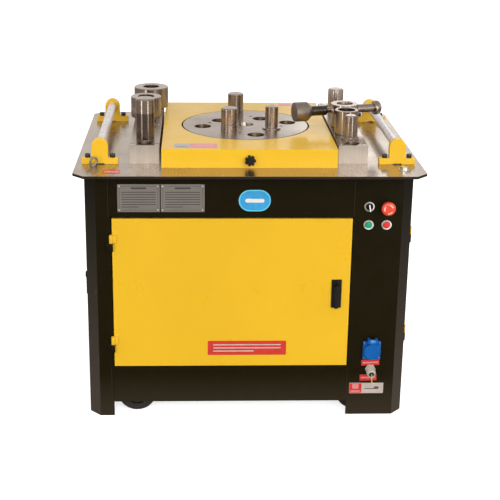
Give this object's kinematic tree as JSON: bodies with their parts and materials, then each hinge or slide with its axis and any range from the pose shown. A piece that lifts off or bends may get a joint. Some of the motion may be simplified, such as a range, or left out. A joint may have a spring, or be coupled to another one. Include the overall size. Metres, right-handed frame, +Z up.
{
  "type": "rebar bender",
  "caption": "Floor-standing bar bending machine: drilled disc with bending pins, two drilled stop bars and two bar rollers on a steel table over a cabinet with doors and an upright gear drive.",
  "frame": {"origin": "on the floor, below the centre of the table plate", "axes": "+X to the right seen from the control side, +Y to the back, +Z up"},
  "size_m": [0.98, 0.79, 0.927],
  "materials": {
    "black_enamel": "satin",
    "yellow_enamel": "gloss",
    "ground_steel": "satin",
    "hard_steel": "polished",
    "zinc_steel": "satin",
    "roller_steel": "satin",
    "black_oxide": "satin",
    "nameplate": "satin",
    "chrome_ring": "polished",
    "black_plastic": "matte",
    "green_plastic": "gloss",
    "red_plastic": "gloss",
    "blue_plastic": "gloss",
    "white_plastic": "gloss",
    "lead_sheath": "matte",
    "tread_rubber": "matte",
    "grey_enamel": "satin",
    "switch_plastic": "matte"
  },
  "bodies": {
    "machine_frame": {"corner_posts": "black_enamel", "control_column": "black_enamel", "cabinet_rails": "black_enamel", "cabinet_panels": "black_enamel", "table_plate": "ground_steel", "deck_cover": "yellow_enamel", "pin_bar_left": "ground_steel", "pin_bar_right": "ground_steel", "table_hardware": "zinc_steel", "eye_bolts": "zinc_steel", "roller_brackets": "yellow_enamel", "nameplates": "nameplate", "hinge_knuckles": "black_enamel", "button_bezels": "chrome_ring", "electrical_box": "switch_plastic", "socket_body": "blue_plastic", "cable_gland": "white_plastic", "earth_lead": "lead_sheath", "wheel_brackets": "zinc_steel", "gearbox_housing": "grey_enamel", "shaft_bearings": "zinc_steel", "motor": "grey_enamel", "motor_bracket": "grey_enamel", "v_belts": "tread_rubber"},
    "disc_assembly": {"bending_disc": "ground_steel", "main_shaft": "hard_steel", "output_gear": "hard_steel"},
    "middle_gears": {"middle_gears": "hard_steel"},
    "input_shaft": {"input_shaft": "hard_steel"},
    "motor_pulley": {"motor_pulley": "black_oxide"},
    "bend_pin_front": {"bend_pin_front": "hard_steel"},
    "bend_pin_back": {"bend_pin_back": "hard_steel"},
    "bend_pin_small": {"bend_pin_small": "hard_steel"},
    "stop_pin_left": {"stop_pin_left": "hard_steel"},
    "sleeve_left_middle": {"sleeve_left_middle": "hard_steel"},
    "sleeve_left_back": {"sleeve_left_back": "hard_steel"},
    "stop_pin_right_front": {"stop_pin_right_front": "hard_steel"},
    "sleeve_right": {"sleeve_right": "hard_steel"},
    "stop_holder": {"stop_holder": "hard_steel"},
    "stop_pad": {"stop_pad": "hard_steel"},
    "stop_spindle": {"stop_spindle": "ground_steel"},
    "stop_pin_right_back": {"stop_pin_right_back": "hard_steel"},
    "roller_left": {"roller_left": "roller_steel"},
    "roller_right": {"roller_right": "roller_steel"},
    "cover_knob": {"cover_knob": "black_plastic"},
    "front_door": {"front_door": "yellow_enamel"},
    "left_door": {"left_door": "yellow_enamel"},
    "right_door": {"right_door": "yellow_enamel"},
    "front_latch": {"front_latch": "black_plastic"},
    "left_latch": {"left_latch": "black_plastic"},
    "right_latch": {"right_latch": "black_plastic"},
    "selector_knob": {"selector_knob": "black_plastic"},
    "estop_button": {"estop_button": "red_plastic"},
    "start_button": {"start_button": "green_plastic"},
    "stop_button": {"stop_button": "red_plastic"},
    "socket_lid": {"socket_lid": "blue_plastic"},
    "wheel_front_left": {"wheel_front_left": "tread_rubber"},
    "wheel_front_right": {"wheel_front_right": "tread_rubber"},
    "wheel_rear_left": {"wheel_rear_left": "tread_rubber"},
    "wheel_rear_right": {"wheel_rear_right": "tread_rubber"}
  },
  "joints": [
    {"name": "disc_spin", "type": "hinge", "parent": "machine_frame", "child": "disc_assembly", "pos_m": [0, -0.006, 0.78], "axis": [0, 0, 1], "continuous": true},
    {"name": "middle_shaft_spin", "type": "hinge", "parent": "machine_frame", "child": "middle_gears", "pos_m": [0.196, -0.006, 0.64], "axis": [0, 0, 1], "continuous": true},
    {"name": "input_shaft_spin", "type": "hinge", "parent": "machine_frame", "child": "input_shaft", "pos_m": [0.196, 0.141, 0.6], "axis": [0, 0, 1], "continuous": true},
    {"name": "motor_spin", "type": "hinge", "parent": "machine_frame", "child": "motor_pulley", "pos_m": [-0.23, 0.141, 0.52], "axis": [0, 0, 1], "continuous": true},
    {"name": "bend_pin_front_lift", "type": "slide", "parent": "disc_assembly", "child": "bend_pin_front", "axis": [0, 0, 1], "range_m": [0, 0.04]},
    {"name": "bend_pin_back_lift", "type": "slide", "parent": "disc_assembly", "child": "bend_pin_back", "axis": [0, 0, 1], "range_m": [0, 0.04]},
    {"name": "bend_pin_small_lift", "type": "slide", "parent": "disc_assembly", "child": "bend_pin_small", "axis": [0, 0, 1], "range_m": [0, 0.04]},
    {"name": "stop_pin_left_lift", "type": "slide", "parent": "machine_frame", "child": "stop_pin_left", "axis": [0, 0, 1], "range_m": [0, 0.05]},
    {"name": "stop_pin_right_front_lift", "type": "slide", "parent": "machine_frame", "child": "stop_pin_right_front", "axis": [0, 0, 1], "range_m": [0, 0.045]},
    {"name": "stop_pin_right_back_lift", "type": "slide", "parent": "machine_frame", "child": "stop_pin_right_back", "axis": [0, 0, 1], "range_m": [0, 0.06]},
    {"name": "sleeve_left_middle_lift", "type": "slide", "parent": "machine_frame", "child": "sleeve_left_middle", "axis": [0, 0, 1], "range_m": [0, 0.08]},
    {"name": "sleeve_left_back_lift", "type": "slide", "parent": "machine_frame", "child": "sleeve_left_back", "axis": [0, 0, 1], "range_m": [0, 0.08]},
    {"name": "sleeve_right_lift", "type": "slide", "parent": "machine_frame", "child": "sleeve_right", "axis": [0, 0, 1], "range_m": [0, 0.08]},
    {"name": "stop_holder_turn", "type": "hinge", "parent": "machine_frame", "child": "stop_holder", "pos_m": [0.296, -0.042, 0.84], "axis": [0, 0, 1], "range_deg": [-30, 30]},
    {"name": "stop_pad_slide", "type": "slide", "parent": "stop_holder", "child": "stop_pad", "axis": [-0.967, -0.2546, 0], "range_m": [-0.016, 0.024]},
    {"name": "spindle_turn", "type": "hinge", "parent": "stop_pad", "child": "stop_spindle", "pos_m": [0.296, -0.042, 0.863], "axis": [-0.967, -0.2546, 0], "range_deg": [-1450, 2170]},
    {"name": "roller_left_spin", "type": "hinge", "parent": "machine_frame", "child": "roller_left", "pos_m": [-0.421, 0, 0.805], "axis": [0, 1, 0], "continuous": true},
    {"name": "roller_right_spin", "type": "hinge", "parent": "machine_frame", "child": "roller_right", "pos_m": [0.421, 0, 0.805], "axis": [0, 1, 0], "continuous": true},
    {"name": "cover_knob_turn", "type": "hinge", "parent": "machine_frame", "child": "cover_knob", "pos_m": [0.001, -0.308, 0.777], "axis": [0, 1, 0], "range_deg": [-720, 0]},
    {"name": "front_door_hinge", "type": "hinge", "parent": "machine_frame", "child": "front_door", "pos_m": [-0.3895, -0.344, 0.3875], "axis": [0, 0, -1], "range_deg": [0, 120]},
    {"name": "left_door_hinge", "type": "hinge", "parent": "machine_frame", "child": "left_door", "pos_m": [-0.47, 0.2645, 0.3875], "axis": [0, 0, -1], "range_deg": [0, 120]},
    {"name": "right_door_hinge", "type": "hinge", "parent": "machine_frame", "child": "right_door", "pos_m": [0.47, -0.2645, 0.3875], "axis": [0, 0, -1], "range_deg": [0, 120]},
    {"name": "front_latch_turn", "type": "hinge", "parent": "front_door", "child": "front_latch", "pos_m": [0.2535, -0.338, 0.405], "axis": [0, 1, 0], "range_deg": [0, 90]},
    {"name": "left_latch_turn", "type": "hinge", "parent": "left_door", "child": "left_latch", "pos_m": [-0.464, -0.2235, 0.405], "axis": [1, 0, 0], "range_deg": [0, 90]},
    {"name": "right_latch_turn", "type": "hinge", "parent": "right_door", "child": "right_latch", "pos_m": [0.464, 0.2235, 0.405], "axis": [-1, 0, 0], "range_deg": [0, 90]},
    {"name": "selector_turn", "type": "hinge", "parent": "machine_frame", "child": "selector_knob", "pos_m": [0.337, -0.338, 0.65], "axis": [0, 1, 0], "range_deg": [-30, 60]},
    {"name": "estop_press", "type": "slide", "parent": "machine_frame", "child": "estop_button", "axis": [0, 1, 0], "range_m": [0, 0.005]},
    {"name": "start_press", "type": "slide", "parent": "machine_frame", "child": "start_button", "axis": [0, 1, 0], "range_m": [0, 0.003], "stiffness_N_per_m": 200},
    {"name": "stop_press", "type": "slide", "parent": "machine_frame", "child": "stop_button", "axis": [0, 1, 0], "range_m": [0, 0.003], "stiffness_N_per_m": 200},
    {"name": "socket_lid_hinge", "type": "hinge", "parent": "machine_frame", "child": "socket_lid", "pos_m": [0.364, -0.355, 0.243], "axis": [-1, 0, 0], "range_deg": [0, 100], "stiffness_Nm_per_rad": 0.02},
    {"name": "wheel_front_left_spin", "type": "hinge", "parent": "machine_frame", "child": "wheel_front_left", "pos_m": [-0.325, -0.29, 0.059], "axis": [0, 1, 0], "continuous": true},
    {"name": "wheel_front_right_spin", "type": "hinge", "parent": "machine_frame", "child": "wheel_front_right", "pos_m": [0.325, -0.29, 0.059], "axis": [0, 1, 0], "continuous": true},
    {"name": "wheel_rear_left_spin", "type": "hinge", "parent": "machine_frame", "child": "wheel_rear_left", "pos_m": [-0.325, 0.29, 0.059], "axis": [0, 1, 0], "continuous": true},
    {"name": "wheel_rear_right_spin", "type": "hinge", "parent": "machine_frame", "child": "wheel_rear_right", "pos_m": [0.325, 0.29, 0.059], "axis": [0, 1, 0], "continuous": true}
  ],
  "couplings": [
    {"joint": "middle_shaft_spin", "follows": "disc_spin", "ratio": -6},
    {"joint": "input_shaft_spin", "follows": "disc_spin", "ratio": 36},
    {"joint": "motor_spin", "follows": "disc_spin", "ratio": 108},
    {"joint": "spindle_turn", "follows": "stop_pad_slide", "rad_per_m": 1570.8}
  ]
}
